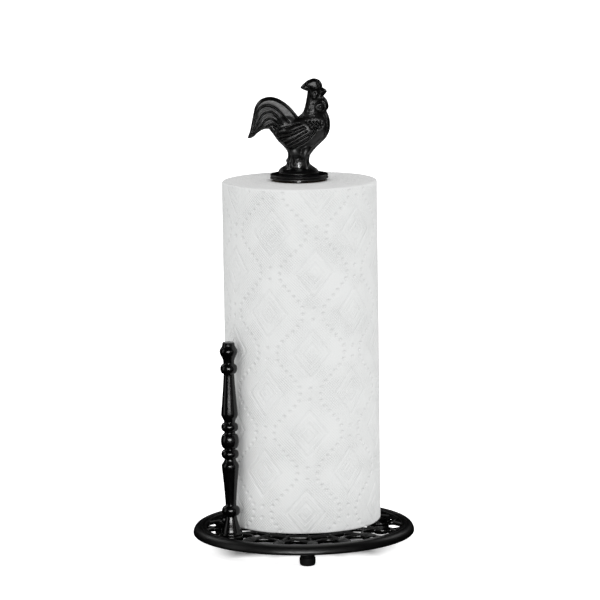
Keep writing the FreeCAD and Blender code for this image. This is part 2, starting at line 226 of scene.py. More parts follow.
def inside(line, x, z):
    """True where a grid point lies inside a closed line."""
    crossings = np.zeros(x.shape, bool)
    for (x0, z0), (x1, z1) in zip(line, np.roll(line, -1, axis=0)):
        if z0 == z1:
            continue
        spans = (z0 > z) != (z1 > z)
        crossings ^= spans & (x < (x1 - x0) * (z - z0) / (z1 - z0) + x0)
    return crossings


# --- materials -------------------------------------------------------------------------------------


class Look:
    """A procedural material: one Principled shader with nodes for its colour, roughness and bump."""

    def __init__(self, name, **fixed):
        self.material = bpy.data.materials.new(name)
        self.material.use_nodes = True
        self.tree = self.material.node_tree
        self.shader = self.tree.nodes["Principled BSDF"]
        for socket, value in fixed.items():
            self.shader.inputs[socket.replace("_", " ")].default_value = value
        self.place = self.add("ShaderNodeTexCoord").outputs["Object"]
        self.normal = None

    def add(self, kind, **settings):
        node = self.tree.nodes.new(kind)
        for key, value in settings.items():
            setattr(node, key, value)
        return node

    def link(self, output, socket):
        self.tree.links.new(output, socket)

    def noise(self, scale, detail=3.0, roughness=0.55):
        node = self.add("ShaderNodeTexNoise")
        self.link(self.place, node.inputs["Vector"])
        node.inputs["Scale"].default_value = scale
        node.inputs["Detail"].default_value = detail
        node.inputs["Roughness"].default_value = roughness
        return node.outputs["Fac"]

    def cells(self, scale):
        node = self.add("ShaderNodeTexVoronoi", feature="F1")
        self.link(self.place, node.inputs["Vector"])
        node.inputs["Scale"].default_value = scale
        return node.outputs["Distance"]

    def math(self, operation, first, second=None):
        node = self.add("ShaderNodeMath", operation=operation)
        for socket, value in zip(node.inputs, (first, second)):
            if value is None:
                continue
            if isinstance(value, (int, float)):
                socket.default_value = value
            else:
                self.link(value, socket)
        return node.outputs[0]

    def spread(self, factor, low, high, start=0.3, end=0.7):
        """A number from low to high as the factor goes from start to end."""
        node = self.add("ShaderNodeMapRange")
        self.link(factor, node.inputs["Value"])
        for socket, value in (("From Min", start), ("From Max", end), ("To Min", low), ("To Max", high)):
            node.inputs[socket].default_value = value
        return node.outputs["Result"]

    def colours(self, factor, stops):
        """A colour from (position, colour) stops."""
        node = self.add("ShaderNodeValToRGB")
        self.link(factor, node.inputs["Fac"])
        ramp = node.color_ramp.elements
        while len(ramp) < len(stops):
            ramp.new(0.5)
        for element, (position, colour) in zip(ramp, stops):
            element.position = position
            element.color = (*colour, 1.0)
        return node.outputs["Color"]

    def bump(self, height, depth, strength=1.0):
        """Adds a layer of bump whose full height is that many metres."""
        node = self.add("ShaderNodeBump")
        node.inputs["Strength"].default_value = strength
        node.inputs["Distance"].default_value = depth
        self.link(height, node.inputs["Height"])
        if self.normal is not None:
            self.link(self.normal, node.inputs["Normal"])
        self.normal = node.outputs["Normal"]
        self.link(self.normal, self.shader.inputs["Normal"])

    def colour(self, output):
        self.link(output, self.shader.inputs["Base Color"])

    def roughness(self, output):
        self.link(output, self.shader.inputs["Roughness"])


def iron_look(name, tone, smoothest, roughest):
    """Black enamel over sand-cast iron."""
    look = Look(name, IOR=1.5)
    flow = look.noise(90, 4)
    low, high = (0.6 * tone,) * 3, (1.4 * tone,) * 3
    look.colour(look.colours(flow, [(0.3, low), (0.7, high)]))
    look.roughness(look.spread(look.noise(260, 5, 0.65), smoothest, roughest))
    look.bump(look.noise(420, 2), 0.00012, 0.35)
    look.bump(look.noise(1500, 3, 0.6), 0.00006, 0.5)
    return look.material


def steel_look():
    """Zinc-plated steel."""
    look = Look("zinc_plated_steel", Metallic=1.0)
    spangle = look.cells(420)
    look.colour(look.colours(spangle, [(0.1, (0.5, 0.51, 0.52)), (0.8, (0.66, 0.66, 0.65))]))
    look.roughness(look.spread(look.noise(700, 4), 0.28, 0.44))
    look.bump(look.noise(1800, 3), 0.00003, 0.5)
    return look.material


def rubber_look():
    """Plain black moulded rubber."""
    look = Look("moulded_rubber", Specular_IOR_Level=0.15)
    look.colour(look.colours(look.noise(300, 4), [(0.3, (0.002,) * 3), (0.7, (0.004,) * 3)]))
    look.roughness(look.spread(look.noise(900, 3), 0.62, 0.8))
    look.bump(look.noise(2400, 2), 0.00005, 0.6)
    return look.material


def arc_and_height(look, radius):
    """Arc length round the roll and height, both in metres, and the node with the three coordinates."""
    split = look.add("ShaderNodeSeparateXYZ")
    look.link(look.place, split.inputs[0])
    angle = look.math("ARCTAN2", split.outputs["Y"], split.outputs["X"])
    return look.math("MULTIPLY", angle, radius), split.outputs["Z"], split


def paper_look():
    """Soft white tissue with a fine pressed cross-hatch, and winding lines on the roll's ends, whose darker
    stripes also paint shade onto the top and bottom faces.
    """
    look = Look("embossed_tissue", Specular_IOR_Level=0.25)
    arc, height, split = arc_and_height(look, ROLL_RADIUS * MM)
    hatch_pitch = 0.0017
    waves = []
    for join in ("ADD", "SUBTRACT"):
        along = look.math("MULTIPLY", look.math(join, arc, height), TURN / (hatch_pitch * math.sqrt(2)))
        waves.append(look.math("SINE", along))
    hatch = look.math("MULTIPLY", look.math("ADD", waves[0], waves[1]), 0.25)
    patchy = look.spread(look.noise(45, 3), 0.25, 1.0, 0.35, 0.65)
    wall = look.add("ShaderNodeNewGeometry")
    facing = look.add("ShaderNodeSeparateXYZ")
    look.link(wall.outputs["Normal"], facing.inputs[0])
    upright = look.math("SUBTRACT", 1.0, look.math("ABSOLUTE", facing.outputs["Z"]))
    radius = look.math(
        "SQRT",
        look.math(
            "ADD",
            look.math("MULTIPLY", split.outputs["X"], split.outputs["X"]),
            look.math("MULTIPLY", split.outputs["Y"], split.outputs["Y"]),
        ),
    )
    wound = look.math("ADD", look.math("MULTIPLY", radius, 1 / 0.00062), look.math("MULTIPLY", arc, 2.5))
    layers = look.math("SINE", look.math("MULTIPLY", look.math("ADD", wound, look.noise(160, 3)), TURN))
    ends = look.math("SUBTRACT", 1.0, upright)
    # Painted shade: the end faces get darker winding stripes, partly the winding of the sheets and partly
    # shade painted onto the top and bottom faces.
    tone = look.colours(
        look.math("MULTIPLY", look.spread(layers, 0.0, 1.0, -1.0, 1.0), ends),
        [(0.0, (0.82, 0.83, 0.825)), (1.0, (0.72, 0.715, 0.715))],
    )
    look.colour(tone)
    look.roughness(look.spread(look.noise(500, 3), 0.86, 0.98))
    look.bump(look.math("MULTIPLY", look.math("MULTIPLY", hatch, patchy), upright), 0.0006, 0.9)
    look.bump(look.math("MULTIPLY", layers, ends), 0.0002, 0.5)
    look.bump(look.noise(1500, 4, 0.7), 0.00012, 0.45)
    return look.material


def board_look():
    """Spirally wound grey-brown board."""
    look = Look("core_board")
    arc, height, _ = arc_and_height(look, CORE_RADIUS * MM)
    wrap = look.math("MULTIPLY", look.math("ADD", height, look.math("MULTIPLY", arc, 0.55)), 1 / 0.075)
    seam = look.math("LESS_THAN", look.math("FRACT", wrap), 0.012)
    fibre = look.noise(1100, 5, 0.7)
    tone = look.math("SUBTRACT", fibre, look.math("MULTIPLY", seam, 0.35))
    look.colour(look.colours(tone, [(0.25, (0.22, 0.16, 0.11)), (0.75, (0.4, 0.31, 0.22))]))
    look.roughness(look.spread(fibre, 0.8, 0.95))
    look.bump(fibre, 0.00008, 0.6)
    look.bump(seam, 0.0002, -0.6)
    return look.material


def floor_look():
    """A pale floor with a painted glow round the base and under its front, which washes out the shadow
    there.
    """
    look = Look("pale_floor", Specular_IOR_Level=0.15)
    look.colour(look.colours(look.noise(6, 3), [(0.3, (0.93, 0.93, 0.93)), (0.7, (0.945, 0.945, 0.945))]))
    look.roughness(look.spread(look.noise(40, 3), 0.7, 0.8))
    split = look.add("ShaderNodeSeparateXYZ")
    look.link(look.place, split.inputs[0])
    squares = [look.math("MULTIPLY", split.outputs[axis], split.outputs[axis]) for axis in ("X", "Y")]
    radius = look.math("SQRT", look.math("ADD", *squares))
    look.shader.inputs["Emission Color"].default_value = (1, 1, 1, 1)
    # Painted light: the floor glows beyond about 78 mm from the axis and in front of the base, hiding the
    # shadow there; beneath the base it has no glow, so the shade stays.
    brightest = 0.75
    beyond = look.spread(radius, 0.0, brightest, 0.06, 0.078)
    before = look.spread(split.outputs["Y"], brightest, 0.0, -0.048, -0.03)
    painted_glow = look.math("MAXIMUM", beyond, before)
    look.link(painted_glow, look.shader.inputs["Emission Strength"])
    return look.material


IRON = iron_look("black_enamelled_iron", 0.001, 0.16, 0.25)
SATIN_IRON = iron_look("black_satin_iron", 0.0015, 0.34, 0.44)
STEEL = steel_look()
RUBBER = rubber_look()
PAPER = paper_look()
BOARD = board_look()


# --- base casting: rim, legs and openwork ----------------------------------------------------------


def make_rim():
    """The convex rim with its narrow inner ledge, and the three legs that are cast with it."""
    edge = RIM_RADIUS + 0.6
    outline = [
        (LIP_RADIUS, PLATE_BOTTOM + 0.1, 0.5),
        (LIP_RADIUS + 3.6, PLATE_BOTTOM + 1.1, 1.0),
        (edge - 4.2, RIM_BOTTOM + 1.6, 0.8),
        (edge - 3.0, RIM_BOTTOM + 0.05, 0.5),
        (edge - 1.3, RIM_BOTTOM, 0.8),
        (edge - 0.15, RIM_BOTTOM + 0.6, 0.7),
        (edge, RIM_BOTTOM + 2.6, 1.4),
        (edge - 1.5, RIM_TOP - 1.7, 2.6),
        (edge - 4.4, RIM_TOP + 0.15, 1.7),
        (edge - 6.0, RIM_TOP, 0.45),
        (edge - 6.4, RIM_TOP - 0.75, 0.3),
        (edge - 6.9, RIM_TOP - 0.75, 0.25),
        (edge - 7.1, RIM_TOP - 0.25, 0.3),
        (LIP_RADIUS + 0.2, RIM_TOP - 0.3, 0.7),
        (LIP_RADIUS, RIM_TOP - 1.4, 0.4),
    ]
    parts = [turned(rounded(outline), 320)]
    leg = [
        (0.4, PLATE_BOTTOM + 0.9, 0),
        (0.4, 6.8, 0),
        (5.75, 6.8, 0.3),
        (5.95, 9.4, 0.8),
        (7.0, 11.2, 1.2),
        (9.0, PLATE_BOTTOM + 0.6, 0.4),
        (8.8, PLATE_BOTTOM + 0.9, 0),
    ]
    for node in FEET:
        low, high = corners(node)
        parts.append(turned(rounded(leg), 64, (low[:2] + high[:2]) / 2))
    points, faces = join_parts(parts)
    add_mesh("base_rim", points, faces, SATIN_IRON, "holder", ["base_casting"])


LEAVES = 15
FIRST_LEAF = math.radians(-12)
# Radii of a leaf's inner tip, its widest place and the root of its fork, and where the arches meet
LEAF_TIP, LEAF_MIDDLE, LEAF_FORK, ARCH_RADIUS, RING_RADIUS = 56.0, 66.5, 74.5, 52.0, 40.0
HUB_RADIUS, HUB_DEPTH, POST_BORE, BOSS_RADIUS = 25.0, 12.0, 4.1, 9.6


def make_openwork():
    """The pierced plate between hub and rim: leaves whose ends fork to the rim, arches and a ring."""
    voxel = 0.52
    side = np.arange(-LIP_RADIUS - 2.2, LIP_RADIUS + 2.2, voxel)
    x, y = np.meshgrid(side, side, indexing="ij")
    radius = np.hypot(x, y)
    sector = TURN / LEAVES
    turn = np.mod(np.arctan2(y, x) - FIRST_LEAF + sector / 2, sector) - sector / 2
    out, aside = radius * np.cos(turn), np.abs(radius * np.sin(turn))

    share = np.clip((out - LEAF_TIP) / (LEAF_FORK + 1.5 - LEAF_TIP), 0, 1)
    blade = 4.9 * np.sin(np.pi * share**0.93) ** 1.15
    leaf = np.where((share > 0) & (share < 1), (aside - blade) * 0.9, np.hypot(aside, 2.0))
    reach = LIP_RADIUS + 1.0
    half = reach * math.sin(sector / 2)
    arm = curve([(LEAF_FORK - 1.2, 0), (LEAF_FORK + 2.6, 2.6), (reach, half * 0.66)])
    stem = curve([(20, 0), (LEAF_TIP + 2.0, 0)], 1)
    arch = curve(
        [
            (LEAF_TIP + 4.5, 1.2),
            (LEAF_TIP + 0.2, 4.6),
            (ARCH_RADIUS + 0.8, ARCH_RADIUS * math.tan(sector / 2) * 0.75),
            (ARCH_RADIUS, ARCH_RADIUS * math.tan(sector / 2)),
        ]
    )
    plan = soft_min(leaf, distance_to(arm, out, aside) - 1.75, 1.2)
    plan = soft_min(plan, distance_to(stem, out, aside) - 1.5, 1.5)
    plan = soft_min(plan, distance_to(arch, out, aside) - 1.25, 1.2)
    plan = soft_min(plan, np.abs(radius - RING_RADIUS) - 2.0, 1.5)
    plan = soft_min(plan, np.abs(radius - LIP_RADIUS - 1.2) - 1.0, 1.4)
    crown = np.clip(-plan / 2.4, 0, 1) ** 0.7
    rib = np.exp(-((aside / 1.3) ** 2)) * np.clip(1 - np.abs(out - LEAF_MIDDLE) / 9.5, 0, 1)
    top = PLATE_BOTTOM + 2.9 + 1.5 * crown + 0.8 * rib

    height = np.arange(HUB_TOP - 12.9, HUB_TOP + 1.4, voxel)
    shape = (len(side), len(side), len(height))
    field = np.empty(shape, np.float32)
    across, forward = BAR_SPOT
    to_bar = np.hypot(x - across, y - forward)
    for layer, z in enumerate(height):
        slab = np.maximum(z - top, PLATE_BOTTOM - z)
        work = soft_max(plan, slab, 0.9)
        hub = soft_max(radius - HUB_RADIUS, max(z - HUB_TOP, HUB_TOP - HUB_DEPTH - z), 1.2)
        boss = soft_max(to_bar - BOSS_RADIUS, max(z - RIM_TOP + 0.1, PLATE_BOTTOM - z), 1.0)
        solid = soft_min(soft_min(work, hub, 1.6), boss, 1.2)
        field[:, :, layer] = np.maximum(solid, POST_BORE - radius)
    points, quads = surface(field, (side[0], side[0], height[0]), voxel)
    add_mesh("base_openwork", points, quads, IRON, "holder", ["base_casting"])


def make_feet():
    """Rubber caps, closed below and rounded at the bottom edge."""
    cap = [
        (0.3, 2.2, 0),
        (0.3, 0, 0),
        (4.9, 0, 0.8),
        (6.2, 0.8, 0.8),
        (6.5, 3.0, 0.8),
        (6.5, 6.5, 0.25),
        (6.1, 6.8, 0.2),
        (4.5, 6.8, 0),
        (4.5, 2.2, 0),
    ]
    for node in FEET:
        low, high = corners(node)
        points, faces = turned(rounded(cap), 64, (low[:2] + high[:2]) / 2)
        add_mesh(node + "_moulded", points, faces, RUBBER, "holder", [node])


# --- tear bar --------------------------------------------------------------------------------------


def bead(height, radius, half_height, neck, steps=11):
    """A round bead on a neck, as profile points from its lower to its upper edge."""
    share = np.sin(np.linspace(-1, 1, steps) * math.pi / 2)
    bulge = np.sqrt(np.maximum(0.0, 1 - share**2))
    return [(neck + (radius - neck) * b, height + half_height * s) for s, b in zip(share, bulge)]


def make_tear_bar():
    """The spindle: flared foot, beads and a ball on thin necks, two long tapers and a crown."""
    foot = bar_low[2]
    drawn_height = 155.0
    scale = (bar_high[2] - foot) / drawn_height
    profile = [(0.3, 0.0), (8.7, 0.0), (9.0, 0.4), (9.0, 1.2), (8.6, 1.8), (8.1, 2.3)]
    profile += [(7.9, 3.4), (7.3, 5.6), (6.3, 8.4), (5.3, 11.6), (4.7, 14.4), (4.5, 15.2)]
    profile += bead(19.5, 7.4, 3.9, 4.6)
    profile += [(4.4, 24.2), (4.45, 26.5), (5.0, 34.0), (5.6, 41.5), (6.35, 49.0), (6.85, 53.4)]
    profile += [(7.0, 54.6), (7.0, 56.2), (6.7, 57.2), (5.9, 58.4), (5.0, 59.8), (4.6, 61.2)]
    profile += bead(65.3, 7.1, 3.4, 4.7)
    profile += bead(75.8, 7.35, 6.0, 4.5, 15)
    profile += bead(87.1, 6.95, 3.4, 4.5)
    profile += [(4.6, 91.4), (4.9, 92.8), (5.8, 94.4), (6.6, 95.8), (6.85, 97.0), (6.75, 98.4)]
    profile += [(6.35, 103.0), (5.85, 108.5), (5.3, 115.0), (4.8, 121.5), (4.4, 127.8), (4.3, 129.4)]
    profile += bead(133.8, 6.9, 3.8, 4.4)
    profile += [(4.4, 138.6), (4.5, 140.2), (5.0, 142.0), (6.1, 144.2), (7.0, 146.2), (7.3, 147.7)]
    profile += [(7.1, 149.0), (6.3, 150.4), (5.6, 151.3), (5.1, 152.6), (4.95, 154.2), (4.6, 154.9)]
    profile += [(4.2, drawn_height), (0.3, drawn_height)]
    profile = np.array(profile) * (1, scale) + (0, foot)
    points, faces = turned(profile, 96, BAR_SPOT)
    add_mesh("tear_bar_turned", points, faces, IRON, "holder", ["tear_bar"])


# --- retaining disc and stud -----------------------------------------------------------------------


def make_disc():
    """The plate on the roll: a slightly hollow underside, and a groove round its edge."""
    edge = disc_high[0] + 0.4
    bore = 4.2
    low, high = disc_low[2], disc_high[2]
    outline = [
        (bore, low, 0),
        (20.0, low, 1.0),
        (edge - 0.6, low + 0.3, 0.3),
        (edge - 0.1, low + 0.6, 0.3),
        (edge, low + 1.1, 0.3),
        (edge - 0.25, low + 1.8, 0.4),
        (edge - 0.85, low + 2.15, 0.25),
        (edge - 0.8, low + 2.5, 0.25),
        (edge - 0.2, low + 2.8, 0.4),
        (edge - 0.15, low + 3.5, 0.5),
        (edge - 0.9, high, 0.8),
        (bore, high, 0),
    ]
    points, faces = turned(rounded(outline), 160)
    add_mesh("disc_casting", points, faces, SATIN_IRON, "disc", ["retaining_disc"])


def make_stud():
    """A threaded rod: the thread is a ridge that climbs one pitch in a turn."""
    pitch, segments = 1.25, 48
    low, high = stud_low[2], stud_high[2]
    crest = stud_high[0]
    rows = int((high - low) / (pitch / 8)) + 1
    z = np.linspace(low, high, rows)[:, None]
    angle = np.linspace(0, TURN, segments, endpoint=False)[None, :]
    phase = np.mod(z / pitch - angle / TURN, 1.0)
    ridge = np.clip(1.25 * (1 - np.abs(2 * phase - 1)) - 0.1, 0, 1)
    ease = np.clip(np.minimum(z - low, high - z) / 0.9, 0, 1)
    radius = crest - 0.72 * (1 - ridge * ease)
    wall = np.stack([radius * np.cos(angle), radius * np.sin(angle), z + 0 * angle], -1)
    caps = []
    for height, row in ((low, wall[0]), (high, wall[-1])):
        cap = row * (0.05, 0.05, 1)
        caps.append(cap)
    points = np.concatenate([caps[0], wall.reshape(-1, 3), caps[1]])
    faces = grid_faces(rows + 2, segments)
    add_mesh("stud_threaded", points, faces, STEEL, "finial", ["finial_stud"])


# --- rooster ---------------------------------------------------------------------------------------

# The outline in strokes that meet at its corners: (forward of the axis, above the disc). The figure is
# drawn to this height and then scaled to its CAD node.
DRAWN_HEIGHT = 78.3
OUTLINE = [
    [(4.9, 68.5), (2.4, 70.0), (2.1, 71.6), (6.5, 75.8), (10.0, 77.6), (13.4, 78.3), (17.4, 76.9)]
    + [(19.5, 74.0), (20.2, 70.6)],
    [(20.2, 70.6), (22.6, 69.2), (23.9, 67.3)],
    [(23.9, 67.3), (22.6, 65.6), (20.9, 63.7)],
    [(20.9, 63.7), (23.6, 60.4), (24.9, 56.0), (24.6, 53.4), (23.2, 51.3)],
    [(23.2, 51.3), (25.2, 46.5), (26.0, 40.9), (25.3, 34.7), (21.9, 28.5), (14.4, 21.2)]
    + [(9.8, 15.6), (8.6, 11.6), (9.0, 8.2), (11.8, 5.8), (15.0, 3.4), (16.4, 0.6), (16.4, 0.0)],
    [(16.4, 0.0), (-16.9, 0.0)],
    [(-16.9, 0.0), (-17.2, 2.0), (-15.2, 4.8), (-11.4, 7.0), (-10.3, 8.6), (-10.9, 10.8)]
    + [(-9.5, 13.2), (-9.2, 15.4), (-9.8, 18.4), (-12.4, 22.0), (-17.3, 27.1), (-20.7, 32.0)]
    + [(-24.4, 36.9)],
    [(-24.4, 36.9), (-28.4, 36.6), (-33.3, 34.0), (-36.9, 30.7), (-40.0, 29.3), (-42.3, 29.6)],
    [(-42.3, 29.6), (-41.3, 32.3), (-39.9, 36.2), (-37.6, 47.2), (-35.6, 55.6), (-32.2, 60.5)]
    + [(-27.7, 62.9), (-22.4, 63.5), (-16.2, 61.9), (-9.4, 57.5), (-4.0, 52.0), (-0.2, 47.1)],
    [(-0.2, 47.1), (3.5, 50.6), (5.5, 56.1), (6.9, 63.0), (7.6, 67.5)],
    [(7.6, 67.5), (6.4, 68.0), (4.9, 68.5)],
]

# Rounded masses: (forward, up, half length, half height, half thickness, lean in degrees)
MASSES = [
    (3.5, 34.5, 24.0, 13.5, 9.6, 30.0),
    (15.0, 41.0, 12.0, 13.5, 9.0, 60.0),
    (11.5, 54.0, 8.2, 17.5, 7.0, -8.0),
    (13.6, 65.6, 7.6, 6.2, 6.0, 0.0),
    (-12.0, 40.0, 13.0, 9.0, 6.2, 20.0),
    (5.6, 17.5, 5.2, 8.4, 6.6, -16.0),
    (-3.5, 19.0, 6.5, 8.0, 7.0, 20.0),
    (20.0, 67.6, 5.2, 2.6, 3.4, -12.0),
    (21.6, 56.4, 3.6, 5.4, 3.9, 0.0),
    (17.9, 55.2, 4.1, 5.2, 7.4, 0.0),
]

# Sunken lines: (points, depth, half width)
TAIL_LINES = [
    [(-38.3, 34.0), (-36.0, 43.6), (-33.6, 50.8), (-30.6, 54.9), (-25.0, 56.6), (-18.4, 53.9)]
    + [(-10.8, 46.0), (-8.0, 43.0)],
    [(-36.6, 34.2), (-32.5, 43.8), (-29.4, 48.8), (-24.2, 51.3), (-19.2, 48.9), (-14.6, 43.2)]
    + [(-13.2, 41.4)],
    [(-34.4, 34.6), (-29.4, 41.6), (-26.6, 44.6), (-22.6, 45.8), (-18.6, 43.9), (-15.4, 40.6)],
    [(-31.4, 35.2), (-26.6, 38.9), (-23.6, 40.9), (-20.4, 41.0), (-17.6, 39.0), (-15.9, 37.2)],
]
WING_LINES = [
    [(1.6, 41.9), (-3.4, 41.0), (-8.6, 38.8), (-15.2, 37.4)],
    [(4.0, 39.4), (-1.6, 37.4), (-7.1, 35.0), (-16.4, 33.4)],
    [(5.4, 38.0), (-0.8, 35.2), (-7.1, 32.2), (-15.4, 29.8)],
    [(6.6, 35.4), (3.4, 33.6), (-2.7, 29.9), (-10.3, 25.9)],
    [(9.4, 33.2), (4.6, 30.8), (-0.9, 27.6), (-8.7, 23.4)],
]
WING_EDGE = [(14.4, 38.2), (12.8, 34.6), (10.2, 31.2), (6.6, 28.0), (2.4, 25.2), (-2.7, 22.8)]
WING_EDGE += [(-7.7, 21.4), (-11.6, 23.0)]


def relief_lines():
    """Every sunken line of the feathers, comb, face and legs."""
    lines = [(line, 1.0, 0.62) for line in TAIL_LINES]
    lines += [(line, 1.05, 0.6) for line in WING_LINES]
    lines.append((WING_EDGE, 1.6, 0.8))
    for upper, lower in zip(WING_LINES[:-1], WING_LINES[1:]):
        (x0, z0), (x1, z1) = upper[-1], lower[-1]
        bulge = ((x0 + x1) / 2 - 1.5, (z0 + z1) / 2 + 0.2)
        lines.append(([upper[-1], bulge, lower[-1]], 0.9, 0.5))
    for x, z in ((-19.6, 38.6), (-19.4, 34.4), (-16.4, 30.6), (-13.2, 27.2), (-10.4, 25.0)):
        lines.append(([(x + 1.8, z + 1.7), (x - 0.9, z + 0.6), (x + 0.6, z - 1.6)], 0.7, 0.45))
    for row, (x, z) in enumerate(((6.0, 42.6), (8.2, 40.4), (9.4, 37.6))):
        for step in range(4 - row // 2):
            left = x + step * 3.1
            lines.append(([(left, z + 0.9), (left + 1.5, z - 0.5), (left + 3.0, z + 0.8)], 0.7, 0.45))
    lines.append(([(20.9, 48.9), (22.5, 45.4), (23.1, 41.4), (22.9, 36.6), (21.4, 32.8)], 1.0, 0.55))
    lines.append(([(24.0, 38.5), (22.6, 32.8), (17.4, 25.6), (11.6, 20.2), (8.2, 15.8)], 1.3, 1.3))
    lines.append(([(8.4, 67.6), (10.0, 64.6), (13.2, 61.8), (16.3, 63.4), (17.9, 67.4)], 0.9, 0.5))
    lines.append(([(6.4, 69.4), (10.6, 70.6), (14.2, 70.3), (17.6, 69.6), (20.4, 69.8)], 0.9, 0.5))
    lines.append(([(5.4, 75.2), (7.6, 72.6), (10.6, 71.0)], 0.9, 0.5))
    lines.append(([(16.4, 77.2), (15.8, 73.6), (16.9, 70.0)], 0.9, 0.5))
    lines.append(([(18.8, 66.5), (21.4, 66.9), (23.8, 67.0)], 0.6, 0.35))
    lines.append(([(17.2, 61.4), (20.2, 60.6), (21.6, 62.8)], 0.7, 0.45))
    return lines


def ring(x, z, centre, radius, width):
    """A soft ring of height one on the side view."""
    return np.exp(-(((np.hypot(x - centre[0], z - centre[1]) - radius) / width) ** 2))


def rooster_thickness(x, z, to_outline):
    """Half the thickness of the figure at each point of its side view."""
    ease = 0.55
    total = np.exp(np.full(x.shape, 4.0) / ease)
    for forward, up, half_length, half_height, half_thickness, lean in MASSES:
        c, s = math.cos(math.radians(lean)), math.sin(math.radians(lean))
        along = (x - forward) * c + (z - up) * s
        aside = (z - up) * c - (x - forward) * s
        share = np.clip(1 - (along / half_length) ** 2 - (aside / half_height) ** 2, 0, 1)
        total += np.exp(half_thickness * np.sqrt(share) / ease)
    for leg, thick in (
        ([(5.6, 14.0), (5.9, 8.0), (7.4, 4.6), (13.2, 2.4)], 5.2),
        ([(-7.0, 14.0), (-8.0, 8.6), (-8.2, 5.4), (-12.8, 2.2)], 4.8),
        ([(-8.2, 5.2), (-4.4, 3.2)], 4.6),
        ([(6.4, 5.0), (2.6, 3.2)], 4.8),
    ):
        share = np.clip(1 - (distance_to(curve(leg), x, z) / 2.1) ** 2, 0, 1)
        total += np.exp(thick * np.sqrt(share) / ease)
    thickness = np.log(total) * ease

    for points, depth, width in relief_lines():
        line = distance_to(curve(points), x, z)
        thickness -= 1.5 * depth * np.exp(-((line / (0.85 * width)) ** 2))
        thickness -= 0.25 * np.exp(-((line / (2.4 * width)) ** 2))
    for upper, lower in zip(TAIL_LINES[:-1], TAIL_LINES[1:]):
        for share in (0.3, 0.62):
            fine = (1 - share) * curve(upper, 6)[: len(curve(lower, 6))] + share * curve(lower, 6)
            thickness -= 0.28 * np.exp(-((distance_to(fine, x, z) / 0.3) ** 2))

    eye, wattle = (13.7, 66.5), (17.9, 55.2)
    thickness += 0.9 * ring(x, z, eye, 0.0, 1.0) + 0.45 * ring(x, z, eye, 1.9, 0.45)
    thickness -= 0.6 * ring(x, z, wattle, 3.9, 0.5) + 0.55 * ring(x, z, (17.9, 55.0), 1.9, 0.45)
    thickness += 0.8 * ring(x, z, (18.9, 62.0), 0.0, 1.5)
    rng = np.random.default_rng(7)
    neck = np.clip(1 - ((x - 11.5) / 9) ** 2 - ((z - 52.5) / 11) ** 2, 0, 1)
    for _ in range(150):
        pebble = (rng.uniform(2.5, 20.5), rng.uniform(42.5, 63))
        thickness += 0.22 * neck * ring(x, z, pebble, 0.0, rng.uniform(0.5, 0.9))
    thickness -= 1.7 * np.clip(1.4 - ((x + 0.6) / 4.2) ** 2 - ((z - 8.6) / 5.6) ** 2, 0, 1)
    for _ in range(34):
        pit = (rng.uniform(-4.4, 3.2), rng.uniform(3.5, 14.5))
        thickness += rng.uniform(-0.9, 0.9) * ring(x, z, pit, 0.0, rng.uniform(0.5, 1.0))

    edge = np.clip(-to_outline / 2.8, 0, 1)
    return np.maximum(thickness, 0.4) * (1 - (1 - edge) ** 1.6)


def make_rooster():
    """The finial casting: a two-sided relief figure on a mound."""
    voxel = 0.29
    side = np.arange(-44.0, 28.0, voxel)
    up = np.arange(-0.9, 80.2, voxel)
    x, z = np.meshgrid(side, up, indexing="ij")
    strokes = [curve(stroke)[:-1] if len(stroke) > 2 else np.array(stroke[:1]) for stroke in OUTLINE]
    line = np.vstack(strokes)
    to_outline = distance_to(np.vstack([line, line[:1]]), x, z)
    to_outline = np.where(inside(line, x, z), -to_outline, to_outline)
    thickness = rooster_thickness(x, z, to_outline)
    slope_x, slope_z = np.gradient(thickness, voxel)
    steep = np.sqrt(1 + np.minimum(slope_x**2 + slope_z**2, 12.0))

    depth = np.arange(-14.6, 14.7, voxel)
    field = np.empty((len(side), len(depth), len(up)), np.float32)
    for layer, y in enumerate(depth):
        figure = np.maximum((abs(y) - thickness) / steep, to_outline)
        spread = np.sqrt((x / 16.8) ** 2 + (y / 13.4) ** 2)
        mound_top = 0.9 + 3.9 * np.clip(1 - spread**2, 0, 1) ** 0.8
        mound = np.maximum((spread - 1) * 13.4, (z - mound_top) * 0.85)
        solid = soft_min(figure, mound, 1.0)
        field[:, layer, :] = np.maximum(solid, -z)
    points, quads = surface(field, (side[0], depth[0], up[0]), voxel)
    points *= (rooster_high[2] - rooster_low[2]) / DRAWN_HEIGHT
    points[:, 2] += rooster_low[2]
    add_mesh("rooster_casting", points, quads, SATIN_IRON, "finial", ["rooster"])


# --- towel roll ------------------------------------------------------------------------------------

COLUMN, PITCH = 36.8, 64.9  # spacing of the pressed diamonds round the roll and up it
HALF_WIDTH, HALF_HEIGHT = 15.4, 19.2  # of the outermost line of a diamond
NESTED = ((1.0, 0.8, 0.55), (0.7, 0.6, 0.25), (0.46, 0.9, 0.5), (0.2, 0.6, 0.3))  # size, width, depth
PATTERN_LEVEL = 234.1  # height of the middle of one diamond
PATTERN_TURN = 11.4  # arc from the front to that diamond
LEAN = 0.05
SHEET_EDGE = math.radians(118)  # where the outer sheet ends, measured from +X
# One of the dotted zigzags between the columns, over half its length: (beyond the border, above the diamond)
ZIGZAG = [(10.2, 0.0), (9.4, 5.5), (6.0, 10.1), (2.0, 14.2), (-2.0, 18.25), (-6.0, 22.35), (-9.4, 26.95)]
ZIGZAG += [(-10.2, 32.45)]


